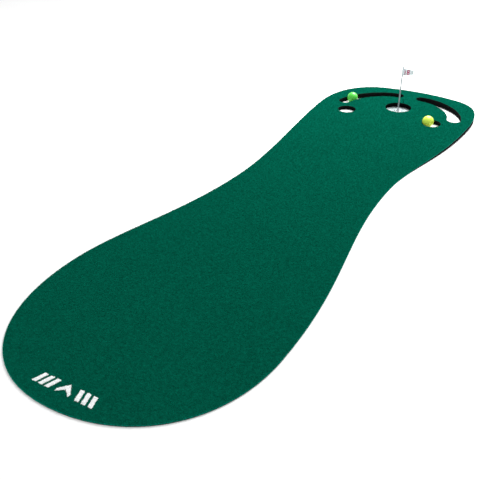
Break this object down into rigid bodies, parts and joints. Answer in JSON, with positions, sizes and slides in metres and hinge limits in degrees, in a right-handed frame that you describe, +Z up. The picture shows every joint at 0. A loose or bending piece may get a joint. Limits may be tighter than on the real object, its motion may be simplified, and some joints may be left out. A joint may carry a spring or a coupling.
{
  "type": "practice putting mat",
  "caption": "Kidney-shaped artificial turf practice mat on rubber, ramped by foam at the cup end, with cup holes, sand-trap slots, a lift-out cup plate with flag, and balls.",
  "frame": {"origin": "on the floor, under the middle of the mat", "axes": "+Z up, +Y along the mat from the tee end to the cup end, +X to the right when looking towards the cup"},
  "size_m": [0.66, 2.15, 0.186],
  "materials": {
    "turf_green": "short matte artificial grass pile",
    "backing": "woven backing cloth with latex",
    "rubber_black": "matte non-slip rubber",
    "foam_black": "closed-cell foam, matte",
    "print_white": "thin matte transfer print",
    "plate_metal": "pressed sheet, satin",
    "fastener_steel": "zinc-plated",
    "plastic_white": "moulded, light gloss",
    "stick_white": "drawn fibreglass rod, satin gloss",
    "flag_fabric": "thin woven nylon",
    "print_red": "thin matte transfer print",
    "ball_core": "solid rubber",
    "ball_green": "dimpled cover, satin gloss",
    "ball_yellow": "dimpled cover, satin gloss"
  },
  "bodies": {
    "mat": {"turf_pile": "turf_green", "turf_backing": "backing", "rubber_underlay": "rubber_black", "foam_ramp": "foam_black", "mark_arrow": "print_white", "mark_bar_left_1": "print_white", "mark_bar_left_2": "print_white", "mark_bar_left_3": "print_white", "mark_bar_right_1": "print_white", "mark_bar_right_2": "print_white", "mark_bar_right_3": "print_white"},
    "cup": {"cup_plate": "plate_metal", "flag_socket": "plastic_white", "socket_washer": "fastener_steel", "socket_screw": "fastener_steel"},
    "flagstick": {"flag_stick": "stick_white", "stick_cap": "plastic_white", "flag_collar": "plastic_white"},
    "flag": {"flag_cloth": "flag_fabric", "flag_one_front": "print_red", "flag_one_rear": "print_red", "flag_eight_front": "print_red", "flag_eight_rear": "print_red"},
    "green_ball": {"green_ball_core": "ball_core", "green_ball_cover_lower": "ball_green", "green_ball_cover_upper": "ball_green"},
    "yellow_ball": {"yellow_ball_core": "ball_core", "yellow_ball_cover_lower": "ball_yellow", "yellow_ball_cover_upper": "ball_yellow"}
  },
  "joints": [
    {"name": "cup_lift", "type": "slide", "parent": "mat", "child": "cup", "axis": [0, 0, 1], "range_m": [0, 0.06]},
    {"name": "stick_pull", "type": "slide", "parent": "cup", "child": "flagstick", "axis": [0, 0, 1], "range_m": [0, 0.06]},
    {"name": "flag_swivel", "type": "hinge", "parent": "flagstick", "child": "flag", "pos_m": [0, 0.873, 0.162], "axis": [0, 0, 1], "continuous": true},
    {"name": "green_ball_lift", "type": "slide", "parent": "mat", "child": "green_ball", "axis": [0, 0, 1], "range_m": [0, 0.08]},
    {"name": "yellow_ball_lift", "type": "slide", "parent": "mat", "child": "yellow_ball", "axis": [0, 0, 1], "range_m": [0, 0.08]}
  ]
}
